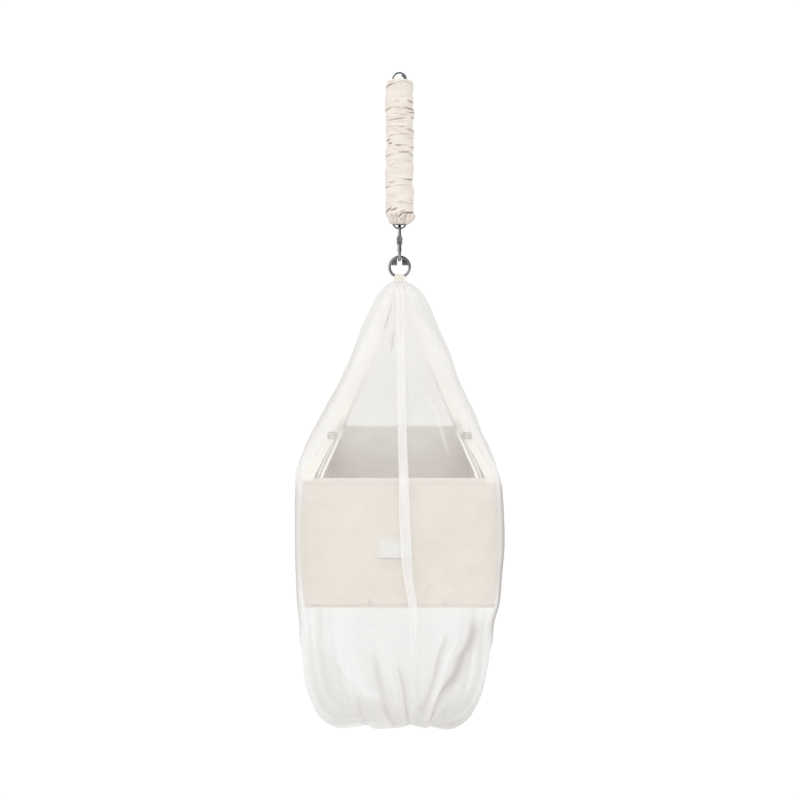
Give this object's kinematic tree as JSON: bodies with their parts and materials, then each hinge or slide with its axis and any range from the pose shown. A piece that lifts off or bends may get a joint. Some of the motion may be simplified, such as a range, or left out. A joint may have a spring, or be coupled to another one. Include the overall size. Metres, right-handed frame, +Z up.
{
  "type": "mosquito net canopy with hanging cradle",
  "caption": "Sheer mosquito net canopy over a canvas baby cradle, hung by webbing straps from a ring, a snap hook and a steel spring in a ruched cotton sleeve.",
  "frame": {"origin": "inner top of the upper spring loop, where the hook that holds it all bears", "axes": "+Z up along the hanging line, Y along the cradle's length with the net's opening at the -Y end, X across it"},
  "size_m": [0.4331, 0.7781, 1.4276],
  "materials": {
    "spring_steel": "satin zinc plate",
    "steel": "polished, worn",
    "slider_steel": "satin",
    "sleeve_cotton": "ruched cotton",
    "cradle_canvas": "plain canvas",
    "webbing": "woven webbing",
    "patch": "plain sewn patch",
    "sheer_net": "fine sheer mesh",
    "placket_cloth": "doubled fine mesh"
  },
  "bodies": {
    "hanging_set": {"hanging_spring": "spring_steel", "spring_sleeve": "sleeve_cotton", "carabiner_frame": "steel", "hanging_ring": "steel", "strap_tab": "webbing", "end_panel_near": "cradle_canvas", "end_panel_far": "cradle_canvas", "side_panel_left": "cradle_canvas", "side_panel_right": "cradle_canvas", "floor_panel": "cradle_canvas", "label_patch": "patch", "net_canopy": "sheer_net", "front_placket": "placket_cloth", "strap_near_left": "webbing", "corner_tab_near_left": "webbing", "slider_near_left": "slider_steel", "strap_near_right": "webbing", "corner_tab_near_right": "webbing", "slider_near_right": "slider_steel", "strap_far_left": "webbing", "corner_tab_far_left": "webbing", "slider_far_left": "slider_steel", "strap_far_right": "webbing", "corner_tab_far_right": "webbing", "slider_far_right": "slider_steel"},
    "gate": {"carabiner_gate": "steel"}
  },
  "joints": [
    {"name": "gate_hinge", "type": "hinge", "parent": "hanging_set", "child": "gate", "pos_m": [0, -0.0145, -0.3829], "axis": [-1, 0, 0], "range_deg": [0, 25], "stiffness_Nm_per_rad": 0.05, "springref_deg": -11.46}
  ]
}
